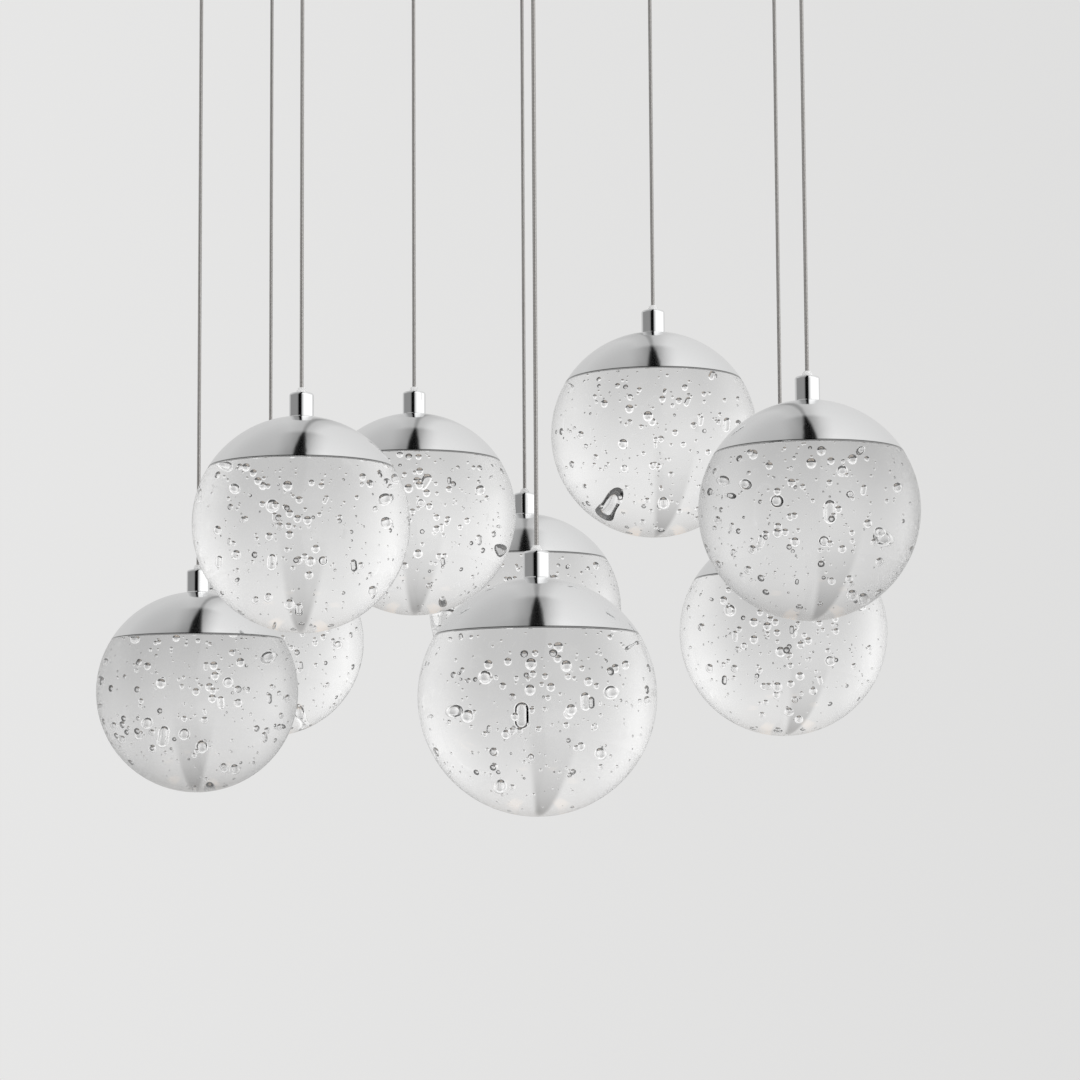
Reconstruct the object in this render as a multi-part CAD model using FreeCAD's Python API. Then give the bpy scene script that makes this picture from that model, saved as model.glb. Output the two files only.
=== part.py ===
"""Cluster pendant: nine solid glass balls under chrome dome caps, each on its own cord
from one round ceiling canopy. Millimetres, +Z up. The origin is the middle of the
canopy on the ceiling, so everything hangs at negative Z."""
import FreeCAD, Part
import math
import os
import random

UP = FreeCAD.Vector(0, 0, 1)

# ---- Driving dimensions ----

# Glass ball and its dome cap
ball_d = 100.0
rim_up = 25.5            # the cap's rim plane above the ball's centre
shadow_gap = 0.35        # between the cap's rim and the glass shoulder
cap_t = 1.2
neck_h = 6.0             # the glass neck that stands up inside the cap
neck_gap = 2.0           # from the neck's top edge to the inside of the cap
glass_arris = 0.4        # the bevel on the ground edges of the glass

# Bubbles in the glass, as closed voids, each ball with a scatter of its own
bubble_count = 120       # in each ball
bubble_d_least = 1.1
bubble_d_most = 3.4
bubble_small_bias = 1.1  # above 1, small ones are commoner than large ones
bubble_middle_bias = 1.9  # below 3, they crowd towards the ball's middle
bubble_skin = 2.6        # the least glass between a bubble and the ball's outside
bubble_wall = 0.35       # the least glass between two bubbles
bubble_long_every = 15   # one in so many is drawn out into a short slanting tube
bubble_long = 0.8        # the tube's straight part, in its diameters
bubble_lean_deg = 35.0   # the most that it slants

# Collar on top of the cap, and the clear bush that guides the cord into it
collar_d = 11.3
collar_h = 11.8
collar_round = 1.2
collar_crown = 0.5       # how far the collar's top slopes down towards its round
collar_relief = 0.3      # the bevel at the collar's foot, a fine dark line on the cap
nipple_d = 9.8
nipple_h = 10.0
bush_d = 4.7
bush_tip_d = 3.0
bush_out = 2.0           # how far the bush stands out of the collar
bush_shoulder = 0.5      # the straight part of it above the collar
bush_in = 6.0
socket_h = 7.0           # the cord's socket below the bush
wire_hole_d = 1.2

# Light engine inside the cap: finned aluminium carrier and its round LED board
boss_wall = 3.1
plate_t = 4.2
board_d = 44.0
board_t = 1.6
board_pocket = 2.4
board_play = 0.8         # all round the board in its pocket
fin_count = 16
fin_t = 1.4
fin_gap = 1.6            # between the fins' crowns and the inside of the cap
fin_inset = 1.0          # from the fins' ends to the edge of the plate
led_size = 3.0
led_h = 0.5
led_count = 6
led_ring_d = 26.0

# Cord
cord_d = 1.8
cord_play = 0.05         # all round the cord in its bush and socket
cord_past_throat = 2.5   # the end of the cord above the throat it hangs from

# Grips in the canopy
throat_play = 0.15       # all round the cord in the throat
flare_deg = 17.0         # the slope of the flares above and below the throat
grip_d = 12.0
grip_h = 11.0
grip_round = 2.0
throat_up = 5.0          # the throat above the mouth of the grip
upper_flare_h = 3.0
grip_neck_d = 9.6
grip_neck_out = 6.0      # the threaded neck above the canopy's floor
grip_bore_d = 5.0
grip_nut_af = 14.0
grip_nut_h = 3.5
hole_play = 0.2          # all round a neck or stud in its hole

# Canopy
canopy_margin = 40.0     # from the outermost cord to the canopy's wall
canopy_depth = 42.0
canopy_t = 1.2
canopy_bend = 8.0        # outside radius between floor and wall
canopy_lip = 5.0         # the rim turned in against the ceiling

# Ceiling bracket, its studs and the cap nuts that hold the canopy up
bracket_t = 2.5
bracket_w = 26.0
bracket_flange = 9.0
bracket_past_stud = 14.0
stud_span = 190.0
stud_d = 5.0
slot_span = 88.9
slot_w = 4.8
slot_l = 18.0
mains_hole_d = 16.0
cap_nut_af = 8.0
cap_nut_h = 4.0
stud_in_nut = 4.5

# Driver, wiring hub and mains block on the canopy's floor
driver_size = (150.0, 40.0, 26.0)
driver_at = (105.0, 90.0)
driver_ear = 8.0
driver_ear_t = 3.0
driver_screw_d = 3.5
driver_round = 3.0
hub_d = 56.0
hub_h = 12.0
hub_round = 1.5
block_size = (45.0, 20.0, 17.0)
block_at = (100.0, 36.0)
block_ways = 3
block_well_d = 5.0
block_well_h = 6.0
lead_d = 1.8
lead_clear = 0.4         # from the end of a cord to the lead that goes on from it
lead_over_neck = 3.0     # the leads' underside above the grips' necks
lead_bend = 4.0

# The cluster. Neighbouring balls clear each other by ball_gap at rest, and the pattern
# says where each ball hangs, in pitches: to the right, to the back, and down from
# the highest ball.
ball_gap = 6.0
highest_drop = 317.0     # from the canopy's underside to the highest ball's centre
pattern = {
    1: (-1.50, 0.37, 1.14),
    2: (-1.25, 1.29, 0.84),
    3: (-0.92, -0.72, 0.48),
    4: (-0.47, 0.17, 0.33),
    5: (0.04, 0.95, 0.71),
    6: (0.10, -1.75, 1.29),
    7: (0.64, -0.08, 0.00),
    8: (1.26, -0.95, 0.46),
    9: (1.22, -0.06, 0.91),
}

# ---- Values that follow from them ----

ball_r = ball_d / 2
cap_in_r = ball_r - cap_t
shoulder_r = math.sqrt(ball_r**2 - rim_up**2)
neck_top = rim_up + neck_h
neck_r = math.sqrt((cap_in_r - neck_gap) ** 2 - neck_top**2)
boss_r = nipple_d / 2 + boss_wall
crown = math.sqrt(ball_r**2 - (collar_d / 2) ** 2)   # flat on the cap for the collar
crown_in = math.sqrt(cap_in_r**2 - boss_r**2)        # flat inside it for the boss
cord_r = cord_d / 2
socket_r = cord_r + cord_play
cord_seat = crown + collar_h - bush_in - socket_h    # where the cord's lower end rests
throat_r = cord_r + throat_play
flare = math.tan(math.radians(flare_deg))

pitch = ball_d + ball_gap
drops = {
    n: (pitch * right, pitch * back, -canopy_depth - highest_drop - pitch * down)
    for n, (right, back, down) in pattern.items()
}
canopy_r = max(math.hypot(x, y) for x, y, _ in drops.values()) + canopy_margin
underside = -canopy_depth
canopy_floor = underside + canopy_t
throat_z = underside - grip_h + throat_up
neck_out_z = canopy_floor + grip_neck_out
cord_top = throat_z + cord_past_throat
lead_z = neck_out_z + lead_over_neck + lead_d / 2


# ---- Shapes that several pieces use ----

def revolved(points):
    """A solid turned about Z from (radius, height) points. An item of three points is
    an arc from the first, through the second, to the third."""
    runs = [
        [FreeCAD.Vector(r, 0, z) for r, z in (item if isinstance(item[0], tuple) else [item])]
        for item in points
    ]
    edges = []
    for before, run in zip(runs[-1:] + runs, runs):
        if before[-1].distanceToPoint(run[0]) > 1e-7:
            edges.append(Part.makeLine(before[-1], run[0]))
        if len(run) == 3:
            edges.append(Part.Arc(*run).toShape())
    return Part.Face(Part.Wire(edges)).revolve(FreeCAD.Vector(), UP, 360)


def sphere_arc(radius, low, high):
    """Arc of a sphere's outline from one height to another, for revolved()."""
    a, b = (math.asin(z / radius) for z in (low, high))
    return (
        (radius * math.cos(a), low),
        (radius * math.cos((a + b) / 2), radius * math.sin((a + b) / 2)),
        (radius * math.cos(b), high),
    )


def corner(r, z, radius, r_way, z_way, start="z"):
    """A rounded outer corner at (r, z) as an arc for revolved(). The piece lies towards
    -r_way and -z_way of the corner; start says which side the outline comes from."""
    on_wall = (r, z - z_way * radius)
    on_end = (r - r_way * radius, z)
    slant = radius * (1 - math.sqrt(0.5))
    middle = (r - r_way * slant, z - z_way * slant)
    return (on_wall, middle, on_end) if start == "z" else (on_end, middle, on_wall)


def tube_between(low, high, radius):
    along = high - low
    return Part.makeCylinder(radius, along.Length, low, along)


def cylinder(diameter, z_low, z_high, x=0.0, y=0.0):
    return Part.makeCylinder(diameter / 2, z_high - z_low, FreeCAD.Vector(x, y, z_low))


def hexagon(across_flats, z_low, z_high):
    corners = [
        FreeCAD.Vector(
            across_flats / math.sqrt(3) * math.cos(math.radians(60 * k)),
            across_flats / math.sqrt(3) * math.sin(math.radians(60 * k)),
            z_low,
        )
        for k in range(7)
    ]
    return Part.Face(Part.makePolygon(corners)).extrude(UP * (z_high - z_low))


def box(size, x, y, z_low):
    """A box centred on (x, y) that stands on z_low."""
    wide, deep, high = size
    return Part.makeBox(wide, deep, high, FreeCAD.Vector(x - wide / 2, y - deep / 2, z_low))


def upright_edges(shape):
    return [
        e
        for e in shape.Edges
        if len(e.Vertexes) == 2
        and abs(abs((e.Vertexes[1].Point - e.Vertexes[0].Point).dot(UP)) - e.Length) < 1e-6
    ]


# ---- One pendant, with the ball's centre at the origin ----

def long_bubble(radius, length):
    """A bubble drawn out upwards, with round ends."""
    ends = (-radius, 0, -length / 2), (0, radius, length / 2)
    return revolved([
        tuple((r, z + up) for r, z in sphere_arc(radius, low, high))
        for low, high, up in ends
    ])


def bubbles(n):
    """Bubbles of ball n, anywhere in its glass but clear of its skin and each other."""
    dice = random.Random(n)
    placed, shapes = [], []
    while len(shapes) < bubble_count:
        size = dice.random() ** bubble_small_bias
        radius = (bubble_d_least + (bubble_d_most - bubble_d_least) * size) / 2
        length = 0.0 if len(shapes) % bubble_long_every else 2 * radius * bubble_long
        reach = radius + length / 2
        out = (ball_r - bubble_skin - reach) * dice.random() ** (1 / bubble_middle_bias)
        high = dice.uniform(-1, 1)
        turn = dice.uniform(0, 2 * math.pi)
        level = math.sqrt(1 - high**2)
        at = FreeCAD.Vector(level * math.cos(turn), level * math.sin(turn), high) * out
        clear = all(
            at.distanceToPoint(other) > reach + other_reach + bubble_wall
            for other, other_reach in placed
        )
        if not clear or at.z > rim_up - bubble_skin - reach:
            continue
        placed.append((at, reach))
        shape = long_bubble(radius, length) if length else Part.makeSphere(radius)
        if length:
            lean_axis = FreeCAD.Vector(math.sin(turn), math.cos(turn), 0)
            shape.rotate(FreeCAD.Vector(), lean_axis, bubble_lean_deg * high)
        shapes.append(shape.translated(at))
    return shapes


def ball():
    """Solid glass ball with a ground shoulder for the cap and a neck inside it."""
    top = neck_top
    return revolved([
        sphere_arc(ball_r, -ball_r, rim_up - glass_arris),
        (shoulder_r - glass_arris, rim_up),
        (neck_r, rim_up),
        (neck_r, top - glass_arris),
        (neck_r - glass_arris, top),
        (0, top),
    ])


def cap():
    """Spun dome, flush with the ball, flattened at the crown for collar and boss."""
    low = rim_up + shadow_gap
    return revolved([
        sphere_arc(ball_r, low, crown),
        (nipple_d / 2, crown),
        (nipple_d / 2, crown_in),
        (boss_r, crown_in),
        sphere_arc(cap_in_r, low, crown_in)[::-1],
    ])


def collar():
    """Turned collar with a nipple that screws through the cap into the boss."""
    top = crown + collar_h
    return revolved([
        (bush_d / 2, top),
        corner(collar_d / 2, top - collar_crown, collar_round, 1, 1, start="end"),
        (collar_d / 2, crown + collar_relief),
        (collar_d / 2 - collar_relief, crown),
        (nipple_d / 2, crown),
        (nipple_d / 2, crown - nipple_h),
        (wire_hole_d / 2, crown - nipple_h),
        (wire_hole_d / 2, cord_seat),
        (socket_r, cord_seat),
        (socket_r, top - bush_in),
        (bush_d / 2, top - bush_in),
    ])


def bush():
    """Clear sleeve between cord and collar, standing a little out of the collar and
    tapered towards the cord."""
    low = crown + collar_h - bush_in
    top = crown + collar_h + bush_out
    return revolved([
        (socket_r, low),
        (bush_d / 2, low),
        (bush_d / 2, top - bush_out + bush_shoulder),
        (bush_tip_d / 2, top),
        (socket_r, top),
    ])


def light_engine():
    """Aluminium carrier bonded to the glass neck: a plate with radial fins that follow
    the dome, a boss for the nipple, and the LED board in a pocket of its underside."""
    plate_top = neck_top + plate_t
    plate_r = min(neck_r, math.sqrt((cap_in_r - neck_gap) ** 2 - plate_top**2))
    carrier = revolved([
        (wire_hole_d / 2, neck_top + board_pocket),
        (board_d / 2 + board_play, neck_top + board_pocket),
        (board_d / 2 + board_play, neck_top),
        (plate_r, neck_top),
        (plate_r, plate_top),
        (boss_r, plate_top),
        (boss_r, crown_in),
        (nipple_d / 2, crown_in),
        (nipple_d / 2, crown - nipple_h),
        (wire_hole_d / 2, crown - nipple_h),
    ])
    dome = Part.makeSphere(cap_in_r - fin_gap)
    fin = Part.makeBox(
        plate_r - fin_inset, fin_t, ball_r - neck_top,
        FreeCAD.Vector(0, -fin_t / 2, plate_top - plate_t / 2),
    )
    fin = fin.common(dome).cut(cylinder(2 * boss_r - fin_t, neck_top, ball_r))
    for k in range(fin_count):
        one = fin.copy()
        one.rotate(FreeCAD.Vector(), UP, 360 * k / fin_count)
        carrier = carrier.fuse(one)
    board_low = neck_top + board_pocket - board_t
    board = cylinder(board_d, board_low, board_low + board_t)
    for k in range(led_count):
        angle = 2 * math.pi * k / led_count
        board = board.fuse(box(
            (led_size, led_size, led_h),
            led_ring_d / 2 * math.cos(angle), led_ring_d / 2 * math.sin(angle),
            board_low - led_h,
        ))
    return Part.Compound([carrier.removeSplitter(), board.removeSplitter()])


def cord(drop_z):
    """Straight cord from its seat in the collar up through the throat of its grip."""
    return cylinder(cord_d, cord_seat, cord_top - drop_z)


# ---- Canopy and what it carries ----

def canopy_pan():
    """Spun pan: floor, wall and a lip turned in against the ceiling, pierced for the
    grips and the studs."""
    inner_bend = canopy_bend - canopy_t
    r_in = canopy_r - canopy_t
    pan = revolved([
        (0, underside),
        corner(canopy_r, underside, canopy_bend, 1, -1, start="end"),
        (canopy_r, 0),
        (canopy_r - canopy_lip, 0),
        (canopy_r - canopy_lip, -canopy_t),
        (r_in, -canopy_t),
        corner(r_in, canopy_floor, inner_bend, 1, -1, start="z"),
        (0, canopy_floor),
    ])
    holes = [
        cylinder(grip_neck_d + 2 * hole_play, underside - 1, canopy_floor + 1, x, y)
        for x, y, _ in drops.values()
    ]
    holes += [
        cylinder(stud_d + 2 * hole_play, underside - 1, canopy_floor + 1, x)
        for x in (-stud_span / 2, stud_span / 2)
    ]
    return pan.cut(Part.Compound(holes))


def ceiling_bracket():
    """Channel screwed to the ceiling through two slots, with pressed-in studs."""
    length = stud_span + 2 * bracket_past_stud
    web = box((length, bracket_w, bracket_t), 0, 0, -bracket_t)
    flanges = [
        box((length, bracket_t, bracket_flange), 0, side * (bracket_w - bracket_t) / 2,
            -bracket_flange)
        for side in (-1, 1)
    ]
    bar = web.fuse(flanges).removeSplitter()
    bar = bar.makeFillet(bracket_t, [
        e for e in bar.Edges
        if abs(e.Length - length) < 1e-6 and abs(e.BoundBox.ZMax) < 1e-6
    ])
    cuts = [cylinder(mains_hole_d, -bracket_t - 1, 1)]
    for side in (-1, 1):
        slot = box((slot_l - slot_w, slot_w, bracket_t + 2), side * slot_span / 2, 0,
                   -bracket_t - 1)
        ends = [
            cylinder(slot_w, -bracket_t - 1, 1,
                     side * slot_span / 2 + way * (slot_l - slot_w) / 2)
            for way in (-1, 1)
        ]
        cuts.append(slot.fuse(ends))
    bar = bar.cut(cuts)
    studs = [
        cylinder(stud_d, underside - stud_in_nut, 0, side * stud_span / 2)
        for side in (-1, 1)
    ]
    return bar.fuse(studs).removeSplitter()


def cap_nuts():
    """Two domed nuts under the canopy, on the bracket's studs."""
    low = underside - cap_nut_h
    dome_r = cap_nut_af / 2
    nut = hexagon(cap_nut_af, low, underside).fuse(
        Part.makeSphere(dome_r, FreeCAD.Vector(0, 0, low), -UP, 0, 90, 360))
    bore = cylinder(stud_d, underside - stud_in_nut, underside)
    nut = nut.removeSplitter().cut(bore)
    return Part.Compound([
        nut.translated(FreeCAD.Vector(side * stud_span / 2, 0, 0)) for side in (-1, 1)
    ])


def cord_grip():
    """Turned grip under the canopy: a narrow throat holds the cord, and a flare above
    and below it lets the cord swing."""
    mouth = underside - grip_h
    mouth_r = throat_r + throat_up * flare
    upper_r = throat_r + upper_flare_h * flare
    return revolved([
        (mouth_r, mouth),
        corner(grip_d / 2, mouth, grip_round, 1, -1, start="end"),
        (grip_d / 2, underside),
        (grip_neck_d / 2, underside),
        (grip_neck_d / 2, neck_out_z),
        (grip_bore_d / 2, neck_out_z),
        (grip_bore_d / 2, throat_z + upper_flare_h),
        (upper_r, throat_z + upper_flare_h),
        (throat_r, throat_z),
    ])


def grip_nut():
    """Hexagon nut on the grip's neck, on the canopy's floor."""
    top = canopy_floor + grip_nut_h
    return hexagon(grip_nut_af, canopy_floor, top).cut(
        cylinder(grip_neck_d, canopy_floor, top))


def cord_grips():
    pieces = [cord_grip(), grip_nut()]
    return Part.Compound([
        piece.translated(FreeCAD.Vector(x, y, 0))
        for x, y, _ in drops.values() for piece in pieces
    ])


def led_driver():
    """Driver case on the canopy's floor, with an ear and a screw at each end."""
    x, y = driver_at
    length, width, height = driver_size
    case = box(driver_size, x, y, canopy_floor)
    case = case.makeFillet(driver_round, upright_edges(case))
    screws = []
    for side in (-1, 1):
        ear_x = x + side * (length + driver_ear) / 2
        case = case.fuse(box(
            (driver_ear, width / 2, driver_ear_t), ear_x - side * driver_round / 2, y,
            canopy_floor))
        hole = cylinder(driver_screw_d, canopy_floor, canopy_floor + driver_ear_t, ear_x, y)
        case = case.cut(hole)
        head = cylinder(2 * driver_screw_d, canopy_floor + driver_ear_t,
                        canopy_floor + driver_ear_t + driver_screw_d / 2, ear_x, y)
        screws.append(hole.fuse(head).removeSplitter())
    return Part.Compound([case.removeSplitter()] + screws)


def lead_from(x, y):
    """Lead from above a cord's end, up, round a bend and straight in to the hub."""
    inward = FreeCAD.Vector(-x, -y, 0).normalize()
    foot = FreeCAD.Vector(x, y, cord_top + lead_clear)
    bend_low = FreeCAD.Vector(x, y, lead_z - lead_bend)
    slant = lead_bend * (1 - math.sqrt(0.5))
    middle = bend_low + inward * slant + UP * (lead_bend - slant)
    bend_high = bend_low + (inward + UP) * lead_bend
    end = inward * -(hub_d / 2)
    end.z = lead_z
    path = Part.Wire([
        Part.makeLine(foot, bend_low),
        Part.Arc(bend_low, middle, bend_high).toShape(),
        Part.makeLine(bend_high, end),
    ])
    section = Part.Wire([Part.makeCircle(lead_d / 2, foot, UP)])
    return path.makePipeShell([section], True, False)


def wiring_loom():
    """Hub that joins the cords' leads, the mains block, and their leads."""
    hub = revolved([
        (0, canopy_floor),
        (hub_d / 2, canopy_floor),
        corner(hub_d / 2, canopy_floor + hub_h, hub_round, 1, 1, start="z"),
        (0, canopy_floor + hub_h),
    ])
    x, y = block_at
    block = box(block_size, x, y, canopy_floor)
    top = canopy_floor + block_size[2]
    ways = [x + block_size[0] * ((k + 0.5) / block_ways - 0.5) for k in range(block_ways)]
    block = block.cut([
        cylinder(block_well_d, top - block_well_h, top, way, y) for way in ways
    ])
    driver_face = driver_at[1] - driver_size[1] / 2
    mains = [
        tube_between(FreeCAD.Vector(way, y + block_size[1] / 2, lead_z),
                     FreeCAD.Vector(way, driver_face, lead_z), lead_d / 2)
        for way in ways
    ]
    out_x = driver_at[0] - driver_size[0] / 2 + 3 * driver_round
    outward = FreeCAD.Vector(out_x, driver_face, 0).normalize()
    feed = tube_between(FreeCAD.Vector(outward.x * hub_d / 2, outward.y * hub_d / 2, lead_z),
                        FreeCAD.Vector(out_x, driver_face, lead_z), lead_d / 2)
    beyond = box(driver_size, *driver_at, canopy_floor)
    leads = [lead_from(x, y) for x, y, _ in drops.values()]
    return Part.Compound([hub, block, feed.cut(beyond)] + mains + leads)


# ---- The assembly ----

def build():
    nodes = {
        "canopy_pan": canopy_pan(),
        "ceiling_bracket": ceiling_bracket(),
        "cap_nuts": cap_nuts(),
        "cord_grips": cord_grips(),
        "led_driver": led_driver(),
        "wiring_loom": wiring_loom(),
    }
    clear_ball = ball()
    pendant = {
        "cap": cap(), "collar": collar(), "bush": bush(), "light_engine": light_engine(),
    }
    for n, (x, y, z) in drops.items():
        own = {"ball": clear_ball.cut(bubbles(n)), "cord": cord(z)}
        for name, shape in {**pendant, **own}.items():
            nodes[f"{name}_{n}"] = shape.translated(FreeCAD.Vector(x, y, z))
    return nodes


os.makedirs("parts", exist_ok=True)
for node, shape in build().items():
    shape.exportStep(f"parts/{node}.step")
    print(f"{node:18s} {shape.Volume / 1000:9.2f} cm3  solids {len(shape.Solids)}"
          f"  valid {shape.isValid()}")
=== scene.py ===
import math
import random

import bpy
from mathutils import Matrix, Vector
from mathutils.kdtree import KDTree


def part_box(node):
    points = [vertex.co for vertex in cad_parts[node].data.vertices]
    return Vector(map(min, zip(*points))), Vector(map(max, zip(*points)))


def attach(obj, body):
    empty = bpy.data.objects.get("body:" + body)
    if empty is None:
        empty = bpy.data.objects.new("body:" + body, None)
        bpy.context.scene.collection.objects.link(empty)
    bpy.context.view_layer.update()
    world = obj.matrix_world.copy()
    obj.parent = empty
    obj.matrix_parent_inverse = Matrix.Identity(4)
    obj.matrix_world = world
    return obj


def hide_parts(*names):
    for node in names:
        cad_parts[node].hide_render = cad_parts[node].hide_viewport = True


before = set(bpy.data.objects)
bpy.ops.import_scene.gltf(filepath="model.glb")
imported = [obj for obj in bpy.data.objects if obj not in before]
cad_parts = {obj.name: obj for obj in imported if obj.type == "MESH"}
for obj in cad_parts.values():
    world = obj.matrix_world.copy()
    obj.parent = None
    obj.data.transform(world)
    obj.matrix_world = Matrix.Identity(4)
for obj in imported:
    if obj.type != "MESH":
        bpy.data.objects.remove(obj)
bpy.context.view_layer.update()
pendants = range(1, 10)

# ---- View ----
# The light is seen from 1.35 m away, from lower than its balls, so that the caps' rims
# arch a little. A long lens keeps the cords almost parallel. All lengths are in metres.
view_data = bpy.data.cameras.new("view")
view_data.sensor_width = 36.0
view_data.lens = 92.8
view_data.shift_y = 0.04
view_data.clip_start = 0.05
view_data.clip_end = 60.0
view_place = (0.012, -1.347, -0.560)
look_up = math.radians(5.5)
lean = math.radians(-0.35)
camera = bpy.data.objects.new("view", view_data)
camera.matrix_world = (
    Matrix.Translation(view_place)
    @ Matrix.Rotation(math.radians(90) + look_up, 4, "X")
    @ Matrix.Rotation(lean, 4, "Z")
)
bpy.context.collection.objects.link(camera)
bpy.context.scene.camera = camera
bpy.context.scene.view_settings.view_transform = "Standard"


# ---- Studio ----
# A pale room with a bright right side, a greyer left side and a dark slot between them,
# which runs from behind the viewer over the top and narrows to nothing at the back.
# Metal, glass and the viewer each see a brightness of their own in it.
class Socket:
    """An output socket whose arithmetic adds Math nodes."""

    def __init__(self, nodes, socket):
        self.nodes = nodes
        self.socket = socket

    def math(self, operation, *others):
        return self.nodes.node("ShaderNodeMath", {"operation": operation}, self, *others)

    def __add__(self, other):
        return self.math("ADD", other)

    def __sub__(self, other):
        return self.math("SUBTRACT", other)

    def __mul__(self, other):
        return self.math("MULTIPLY", other)

    def __truediv__(self, other):
        return self.math("DIVIDE", other)

    def __pow__(self, other):
        return self.math("POWER", other)

    def __gt__(self, other):
        return self.math("GREATER_THAN", other)

    def __rsub__(self, other):
        return self.nodes.node("ShaderNodeMath", {"operation": "SUBTRACT"}, other, self)

    __radd__ = __add__
    __rmul__ = __mul__

    def abs(self):
        return self.math("ABSOLUTE")

    def sin(self):
        return self.math("SINE")

    def clamp(self):
        return self.math("MAXIMUM", 0.0).math("MINIMUM", 1.0)

    def between(self, low, high):
        """0 at low and below, 1 at high and above, smooth between them."""
        part = ((self - low) / (high - low)).clamp()
        return part * part * (3.0 - 2.0 * part)


class Nodes:
    """The node tree of a material or the world."""

    def __init__(self, owner):
        owner.use_nodes = True
        self.tree = owner.node_tree
        self.tree.nodes.clear()

    def node(self, kind, settings, *values, out=0, **named):
        """A node of that type. Settings come first, then its sockets in order or by
        name. Returns output number out, or the one of that name."""
        made = self.tree.nodes.new(kind)
        for name, value in settings.items():
            if name == "stops":
                ramp = made.color_ramp
                while len(ramp.elements) < len(value):
                    ramp.elements.new(0.5)
                for element, (place, colour) in zip(ramp.elements, value):
                    element.position = place
                    element.color = (*colour, 1.0)
            else:
                setattr(made, name, value)
        for key, value in [*enumerate(values), *named.items()]:
            if isinstance(key, str):
                key = key.replace("_", " ")
            if isinstance(value, Socket):
                self.tree.links.new(value.socket, made.inputs[key])
            else:
                made.inputs[key].default_value = value
        return Socket(self, made.outputs[out])

    def mix(self, part, first, second):
        """A colour from first at 0 to second at 1."""
        made = self.tree.nodes.new("ShaderNodeMix")
        made.data_type = "RGBA"
        for key, value in ((0, part), (6, first), (7, second)):
            if isinstance(value, Socket):
                self.tree.links.new(value.socket, made.inputs[key])
            elif key == 0:
                made.inputs[key].default_value = value
            else:
                made.inputs[key].default_value = (*value, 1.0)
        return Socket(self, made.outputs[2])

    def ramp(self, part, *stops):
        """A level that runs through (place, level) stops."""
        stops = [(place, (level, level, level)) for place, level in stops]
        return self.node("ShaderNodeValToRGB", {"stops": stops}, part)

    def place(self, coordinates="Object"):
        return self.node("ShaderNodeTexCoord", {}, out=coordinates)

    def split(self, vector):
        """The X, Y and Z of a vector."""
        parts = self.node("ShaderNodeSeparateXYZ", {}, vector).socket.node.outputs
        return [Socket(self, part) for part in parts]

    def rays(self, *names):
        """What kind of ray arrives here, one socket for each name."""
        path = self.tree.nodes.new("ShaderNodeLightPath")
        return [Socket(self, path.outputs[name]) for name in names]

    def output(self, shader, kind="ShaderNodeOutputMaterial"):
        end = self.tree.nodes.new(kind)
        self.tree.links.new(shader.socket, end.inputs["Surface"])


def grey(level, warm=0.0):
    """A grey, a little warm or, below 0, a little cool."""
    return (level * (1 + warm), level, level * (1 - warm))


world = bpy.data.worlds.new("studio")
bpy.context.scene.world = world
studio = Nodes(world)
across, ahead, up = studio.split(studio.place("Generated"))
# The angle over the top, from behind the viewer at 0 to straight ahead at pi. Both
# sides of the room change in brightness along it, and the right side is far brighter.
over = up.math("ARCTAN2", ahead * -1.0).abs()
turned = over / math.pi
right_gain = 1.32
left_level = studio.ramp(turned, (0.0, 0.30), (0.19, 0.34), (0.38, 0.42), (0.47, 0.52),
                         (0.60, 0.57), (0.75, 0.66), (0.93, 0.65), (1.0, 0.62))
right_level = studio.ramp(turned, (0.0, 0.98), (0.19, 0.92), (0.38, 0.76), (0.47, 0.67),
                          (0.60, 0.63), (0.75, 0.59), (0.93, 0.53), (1.0, 0.50)) * right_gain
side = across.between(-0.22, 0.22)
mirrored = left_level * (1.0 - side) + right_level * side
# Upright plating sees the room level with it: greyer to the left, brightest to the right.
level_room = across.between(-0.15, 0.72) + 0.29
upright = (1.0 - up.abs().between(0.2, 0.35)) * (1.0 - ahead.between(0.35, 0.75))
mirrored = mirrored * (1.0 - upright) + level_room * upright
# The dark slot, with a soft shade beside it, gets narrower along the way.
slot_middle = (1.0 - over).clamp() * -0.20
from_middle = (across - slot_middle).abs()
slot_half = 0.265 - over * 0.135
from_slot = from_middle - slot_half
slot_open = slot_half.between(0.0, 0.02)
halo = (1.0 - from_slot.between(-0.04, 0.27)) * slot_open * 0.42
core = (1.0 - from_slot.between(-0.02, 0.025)) * slot_open * 0.975
# A fine dark line goes on from the slot's end, up each dome to its collar.
line_open = over.between(0.9, 1.4) * (1.0 - over.between(2.5, 2.9))
line = (1.0 - from_middle.between(0.005, 0.03)) * 0.40
line_halo = (1.0 - from_middle.between(0.02, 0.16)) * 0.22
line_left = (1.0 - line * line_open) * (1.0 - line_halo * line_open)
mirrored = mirrored * (1.0 - halo) * (1.0 - core) * line_left
# What the glass shows: a room that brightens to the top, the sides and the floor, with
# a grey funnel that widens with the height.
height = up.math("ARCSINE")
through = 0.66 + height.between(-0.3, 0.7) * 0.27 + across.abs().between(0.25, 0.85) * 0.34
through = through + (1.0 - height.between(-0.95, -0.4)) * 0.50
behind = 1.0 - ahead.between(-0.5, 0.1)
through = through * (1.0 - behind * 0.45)
funnel_middle = height * 0.075 - 0.115
funnel_half = 0.15 - height * 0.095
from_funnel = (across - funnel_middle).abs() - funnel_half
funnel = (1.0 - from_funnel.between(-0.02, 0.03)) * (height - 0.15).clamp() * 0.50
through = through * (1.0 - funnel)
wall = 0.80 - (across * 2.2 + 0.5).clamp() * 0.065
is_camera, is_glossy, is_through = studio.rays(
    "Is Camera Ray", "Is Glossy Ray", "Is Transmission Ray")
other = 1.0 - (is_glossy + is_through + is_camera).clamp()
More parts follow.
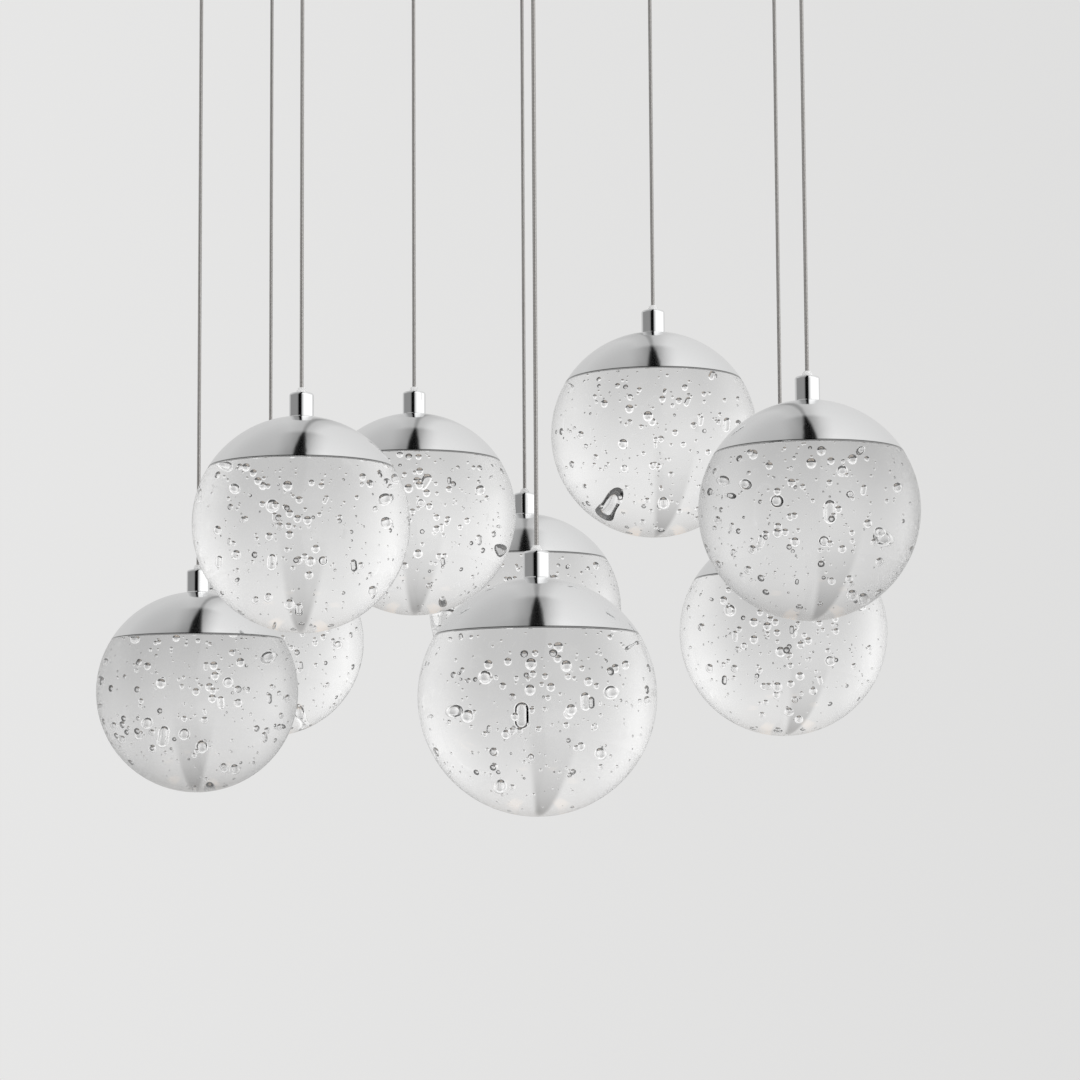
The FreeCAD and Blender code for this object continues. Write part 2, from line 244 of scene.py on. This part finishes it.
# Light that came through clear glass counts as glossy too, so that question comes first.
level = other * 0.85 + is_camera * wall + (
    is_through * through + (1.0 - is_through) * is_glossy * mirrored)
tone = studio.node("ShaderNodeCombineColor", {}, level * 1.002, level, level * 0.996)
studio.output(studio.node("ShaderNodeBackground", {}, tone, 1.0), "ShaderNodeOutputWorld")


floor_material = bpy.data.materials.new("floor_paint")
paint = Nodes(floor_material)
matt = paint.node("ShaderNodeBsdfDiffuse", {}, (*grey(0.80), 1.0))
glow = paint.node("ShaderNodeEmission", {}, (*grey(0.762, 0.004), 1.0), 1.0)
is_camera, is_glossy, is_through = paint.rays(
    "Is Camera Ray", "Is Glossy Ray", "Is Transmission Ray")
paint.output(paint.node(
    "ShaderNodeMixShader", {}, (is_camera + is_glossy + is_through).clamp() * 0.9, matt, glow))
floor_low = -1.9
floor_half = 6.0
floor_mesh = bpy.data.meshes.new("floor")
floor_mesh.from_pydata(
    [(x * floor_half, y * floor_half, floor_low)
     for x, y in ((-1, -1), (1, -1), (1, 1), (-1, 1))],
    [], [(0, 1, 2, 3)])
floor_mesh.materials.append(floor_material)
floor_object = bpy.data.objects.new("floor", floor_mesh)
floor_object.visible_glossy = False
floor_object.visible_transmission = False
bpy.context.collection.objects.link(floor_object)

lamp_data = bpy.data.lights.new("right_softbox", "AREA")
lamp_data.size = 0.9
lamp_data.energy = 14.0
lamp = bpy.data.objects.new("right_softbox", lamp_data)
lamp.location = (1.6, -1.2, 0.2)
lamp_aim = Vector((0, 0, -0.45)) - lamp.location
lamp.rotation_euler = lamp_aim.to_track_quat("-Z", "Y").to_euler()
lamp.visible_glossy = False
lamp.visible_transmission = False
bpy.context.collection.objects.link(lamp)

# ---- Pendants ----
# Nine pendants, each placed by the middle of its ball. Their materials and the canopy's
# are made and put on in the same way.
ball_r = 0.050
centres = {}
for k in pendants:
    low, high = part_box(f"ball_{k}")
    centres[k] = Vector(((low.x + high.x) / 2, (low.y + high.y) / 2, low.z + ball_r))


def material(name):
    made = bpy.data.materials.new(name)
    return made, Nodes(made)


def principled(nodes, **sockets):
    nodes.output(nodes.node("ShaderNodeBsdfPrincipled", {}, **sockets))


def dress(node, made, in_glass=False, in_chrome=False):
    """Gives a CAD node that material in all of its slots. Glass and chrome show only the
    studio, apart from what is named as seen in them, as if each pendant were lit alone."""
    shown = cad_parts[node]
    shown.visible_transmission = in_glass
    shown.visible_glossy = in_chrome
    shown.data.materials.clear()
    shown.data.materials.append(made)
    for face in shown.data.polygons:
        face.use_smooth = True


# ---- Cords ----
# Fine steel braid under a clear jacket, 1.8 mm thick. Each carries its ball from the
# throat of a grip in the canopy to the socket in its collar, and hangs dead straight.
cord_d = 0.0018
cord_material, nodes = material("braided_cord")
x, y, z = nodes.split(nodes.place())
angle = y.math("ARCTAN2", x)
along, strands = z * 5200.0, 3.0
weave = (along + angle * strands).sin() * (along - angle * strands).sin()
strand = weave.between(-0.5, 0.7)
colour = nodes.mix(strand, grey(0.20, 0.05), grey(0.52, 0.03))
bump = nodes.node("ShaderNodeBump", {}, Strength=0.35, Distance=0.0002, Height=strand)
principled(nodes, Base_Color=colour, Metallic=0.35, Roughness=0.38, Normal=bump,
           Coat_Weight=0.6, Coat_Roughness=0.08)
for k in pendants:
    low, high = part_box(f"cord_{k}")
    curve = bpy.data.curves.new(f"cord_line_{k}", "CURVE")
    curve.dimensions = "3D"
    curve.bevel_depth = cord_d / 2
    curve.bevel_resolution = 3
    curve.use_fill_caps = True
    spline = curve.splines.new("NURBS")
    spline.points.add(3)
    for point, part in zip(spline.points, (0.0, 0.35, 0.7, 1.0)):
        point.co = (0, 0, high.z + (low.z - high.z) * part - centres[k].z, 1.0)
    spline.order_u = 3
    spline.use_endpoint_u = True
    cord = bpy.data.objects.new(f"braided_cord_{k}", curve)
    cord.location = centres[k]
    cord.visible_transmission = False
    cord.visible_glossy = False
    bpy.context.collection.objects.link(cord)
    curve.materials.append(cord_material)
    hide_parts(f"cord_{k}")
    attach(cord, f"pendant_{k}")

# ---- Collars and bushes ----
# Turned brass collars, mirror-plated, that screw through the caps. A short translucent
# sleeve stands out of each and keeps the cord off its edge.
collar_chrome, nodes = material("collar_chrome")
haze = nodes.node("ShaderNodeTexNoise", {}, nodes.place(), Scale=180.0, Detail=3.0)
principled(nodes, Base_Color=(*grey(0.86, -0.006), 1.0), Metallic=1.0,
           Roughness=haze * 0.04 + 0.015)
bush_plastic, nodes = material("bush_plastic")
cloud = nodes.node("ShaderNodeTexNoise", {}, nodes.place(), Scale=900.0, Detail=2.0)
principled(nodes, Base_Color=nodes.mix(cloud, grey(0.80), grey(0.92)),
           Roughness=cloud * 0.15 + 0.12, Transmission_Weight=0.35, IOR=1.49,
           Subsurface_Weight=0.4, Subsurface_Radius=(0.002, 0.002, 0.002))
for k in pendants:
    dress(f"collar_{k}", collar_chrome, in_chrome=True)
    dress(f"bush_{k}", bush_plastic, in_chrome=True)

# ---- Dome caps ----
# Spun steel domes, polished and chromed, flush with the glass and nipped between the
# collar and the light engine's boss. A dark band of painted shade along the rim stands
# in for the shadow in the gap between the rim and the glass.
rim_shade_height = 0.00052
rim_blur = 0.0001
cap_chrome, nodes = material("cap_chrome")
place = nodes.place()
haze = nodes.node("ShaderNodeTexNoise", {}, place, Scale=22.0, Detail=4.0)
swirl = nodes.node("ShaderNodeTexNoise", {}, place, Scale=300.0, Detail=2.0)
bump = nodes.node("ShaderNodeBump", {}, Strength=0.012, Distance=0.001, Height=swirl)
plate = nodes.mix(haze, grey(0.83, -0.006), grey(0.88, -0.004))
low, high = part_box("cap_1")
above_rim = nodes.split(nodes.place("Generated"))[2] * (high.z - low.z)
# Painted shade: the lowest half millimetre of each dome is dark, as the gap under it would be.
rim_gap_shade = 1.0 - above_rim.between(rim_shade_height - rim_blur, rim_shade_height + rim_blur)
principled(nodes, Base_Color=nodes.mix(rim_gap_shade, plate, grey(0.16)),
           Metallic=1.0, Roughness=haze * 0.07 + 0.05, Normal=bump)
for k in pendants:
    dress(f"cap_{k}", cap_chrome)

# ---- Glass balls ----
# Solid clear glass, cast round its air bubbles. Shoulder and neck are ground, and the
# neck carries the glow of six LEDs down. That glow is painted light, which the ground
# faces give off themselves. Away from the board they give off a dark grey instead, as
# painted shade under the dome.
ball_high = 0.0815      # from the ball's lowest point to the neck's end
skin_r = 0.0490         # further from the middle is the ball's own skin
shoulder_z = 0.02545    # the ground faces lie higher
board_z = 0.0314        # the LED board's light falls on faces still higher
led_ring_r = 0.013


def only_own_glass(nodes, surface, outer=None):
    """Shows through each ball only the studio: light that has left one pendant goes
    through the outer skin of the others as through air, as if each had been lit alone."""
    arrived, bounced, passed = nodes.rays(
        "Is Transmission Ray", "Is Glossy Ray", "Transparent Depth")
    passing = passed.clamp()
    if outer is not None:
        front = 1.0 - nodes.node("ShaderNodeNewGeometry", {}, out="Backfacing")
        passing = (outer * front * (arrived + bounced) + passed).clamp()
    air = nodes.node("ShaderNodeBsdfTransparent", {})
    nodes.output(nodes.node("ShaderNodeMixShader", {}, passing, surface, air))


def cast_glass(name, middle, edge):
    """Glass that lets through the share middle straight on and the share edge aslant, a painted
    shade that stands in for how each ball is lit.
    """
    glass, nodes = material(name)
    gx, gy, gz = nodes.split(nodes.place("Generated"))
    right, back, high = (gx - 0.5) * 2 * ball_r, (gy - 0.5) * 2 * ball_r, gz * ball_high - ball_r
    from_axis = (right ** 2.0 + back ** 2.0) ** 0.5
    ground = high > shoulder_z
    outer = (((from_axis ** 2.0 + high ** 2.0) > skin_r ** 2) + ground).clamp()
    bearing = back.math("ARCTAN2", right)
    # Painted light: the six LEDs and the board glow warm on the ground faces above the board.
    # The rest of the ground faces glow dark grey as painted shade.
    on_led = (bearing * 3.0).math("COSINE").abs().between(0.86, 0.97)
    on_ring = 1.0 - (from_axis - led_ring_r).abs().between(0.0005, 0.0030)
    on_board = (1.0 - from_axis.between(0.016, 0.022)) * (high > board_z)
    board_light = nodes.mix(on_led * on_ring, grey(0.36, 0.08), (1.3, 1.0, 0.74))
    face_light = nodes.mix(on_board, grey(0.11), board_light)
    # Painted shade: the skin darkens the ball, for some kinds far more aslant, as if the balls
    # were lit differently.
    slant = nodes.node("ShaderNodeLayerWeight", {}, Blend=0.5, out="Facing")
    painted_skin_shade = nodes.mix(slant, grey(middle), grey(edge))
    clear = nodes.node("ShaderNodeBsdfPrincipled", {},
                       Base_Color=nodes.mix(outer, grey(0.985), painted_skin_shade),
                       Roughness=0.0, Transmission_Weight=1.0, IOR=1.49)
    painted_glow_face = nodes.node("ShaderNodeEmission", {}, face_light, 1.0)
    surface = nodes.node("ShaderNodeMixShader", {}, ground, clear, painted_glow_face)
    only_own_glass(nodes, surface, outer)
    return glass


# Painted shade: two of the balls are darker towards their edges and three are paler, as if each
# were lit on its own.
bright_edged = cast_glass("bright_edged_glass", 0.86, 0.84)
dark_edged = cast_glass("dark_edged_glass", 0.87, 0.25)
pale = cast_glass("pale_glass", 0.98, 0.50)
kinds = {1: dark_edged, 8: dark_edged, 4: pale, 5: pale, 7: pale}
for k in pendants:
    dress(f"ball_{k}", kinds.get(k, bright_edged), in_glass=True, in_chrome=True)

# ---- Seeds in the glass ----
# The finest bubbles, 0.4 to 1.1 mm across, drift between the large ones, which are
# hollows in the balls themselves. They keep clear of those and of the ball's skin.
seed_glass, nodes = material("seed_wall")
clear = nodes.node("ShaderNodeBsdfPrincipled", {}, Base_Color=(*grey(0.985), 1.0),
                   Roughness=0.0, Transmission_Weight=1.0, IOR=1.49)
only_own_glass(nodes, clear)
seed_count = 260
seed_r_least, seed_r_most = 0.00020, 0.00055
seed_skin = 0.0020
seed_top = 0.0240
seed_clear = 0.0026     # from a seed's own wall to a corner of a hollow or of the skin


def unit_bubble(rings, sides):
    """Corners and faces of a ball of radius 1 whose faces look inwards."""
    corners = [(0.0, 0.0, 1.0)]
    for i in range(1, rings):
        tilt = math.pi * i / rings
        for j in range(sides):
            turn = 2 * math.pi * (j + 0.5 * (i % 2)) / sides
            corners.append((
                math.sin(tilt) * math.cos(turn), math.sin(tilt) * math.sin(turn),
                math.cos(tilt)))
    corners.append((0.0, 0.0, -1.0))
    last = len(corners) - 1
    faces = []
    for j in range(sides):
        after = (j + 1) % sides
        faces.append((0, 1 + after, 1 + j))
        start = 1 + (rings - 2) * sides
        faces.append((last, start + j, start + after))
        for i in range(rings - 2):
            a, b = 1 + i * sides, 1 + (i + 1) * sides
            faces.append((a + j, a + after, b + after, b + j))
    return [Vector(c) for c in corners], faces


bubble_corners, bubble_faces = unit_bubble(6, 9)
for k in pendants:
    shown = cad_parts[f"ball_{k}"]
    walls = KDTree(len(shown.data.vertices))
    for number, corner in enumerate(shown.data.vertices):
        walls.insert(shown.matrix_world @ corner.co - centres[k], number)
    walls.balance()
    draw = random.Random(k)
    corners, faces = [], []
    while len(corners) < seed_count * len(bubble_corners):
        place = Vector([draw.uniform(-1, 1) for _ in range(3)]) * ball_r
        radius = seed_r_least + (seed_r_most - seed_r_least) * draw.random() ** 0.9
        if place.length > (ball_r - seed_skin) * draw.random() ** 0.25 or place.z > seed_top:
            continue
        if walls.find(place)[2] < seed_clear + radius:
            continue
        start = len(corners)
        corners += [place + corner * radius for corner in bubble_corners]
        faces += [[start + number for number in face] for face in bubble_faces]
    mesh = bpy.data.meshes.new(f"seeds_{k}")
    mesh.from_pydata(corners, [], faces)
    mesh.materials.append(seed_glass)
    for face in mesh.polygons:
        face.use_smooth = True
    seeds = bpy.data.objects.new(f"seeds_{k}", mesh)
    seeds.location = centres[k]
    bpy.context.collection.objects.link(seeds)
    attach(seeds, f"pendant_{k}")

# ---- Light engines ----
# Die-cast aluminium carriers with fins, bonded to the necks of the balls, and the LED
# boards in them. The domes and the ground glass hide them, so both are plain metal. The
# LEDs' glow is painted light on the ground faces of the balls.
cast, nodes = material("cast_aluminium")
grain = nodes.node("ShaderNodeTexNoise", {}, nodes.place(), Scale=700.0, Detail=3.0)
bump = nodes.node("ShaderNodeBump", {}, Strength=0.2, Distance=0.0005, Height=grain)
principled(nodes, Base_Color=nodes.mix(grain, grey(0.42), grey(0.52)), Metallic=0.9,
           Roughness=grain * 0.2 + 0.4, Normal=bump)
for k in pendants:
    dress(f"light_engine_{k}", cast)

# ---- Canopy ----
# A spun pan, chromed like the caps, with turned grips and domed nuts under it. Inside
# are the zinc-plated bracket, the white driver case and the moulded hub and leads.
canopy_chrome, nodes = material("canopy_chrome")
haze = nodes.node("ShaderNodeTexNoise", {}, nodes.place(), Scale=6.0, Detail=4.0)
principled(nodes, Base_Color=nodes.mix(haze, grey(0.80), grey(0.86)), Metallic=1.0,
           Roughness=haze * 0.08 + 0.06)
zinc, nodes = material("zinc_plate")
spangle = nodes.node("ShaderNodeTexNoise", {}, nodes.place(), Scale=90.0, Detail=4.0)
principled(nodes, Base_Color=nodes.mix(spangle, grey(0.45), grey(0.62)), Metallic=1.0,
           Roughness=spangle * 0.25 + 0.3)
white_case, nodes = material("white_case")
grain = nodes.node("ShaderNodeTexNoise", {}, nodes.place(), Scale=1500.0, Detail=2.0)
bump = nodes.node("ShaderNodeBump", {}, Strength=0.15, Distance=0.0002, Height=grain)
principled(nodes, Base_Color=nodes.mix(grain, grey(0.74), grey(0.78)),
           Roughness=grain * 0.1 + 0.42, Normal=bump)
dress("canopy_pan", canopy_chrome)
dress("cord_grips", collar_chrome)
dress("cap_nuts", collar_chrome)
dress("ceiling_bracket", zinc)
dress("led_driver", white_case)
dress("wiring_loom", white_case)

bpy.context.view_layer.update()
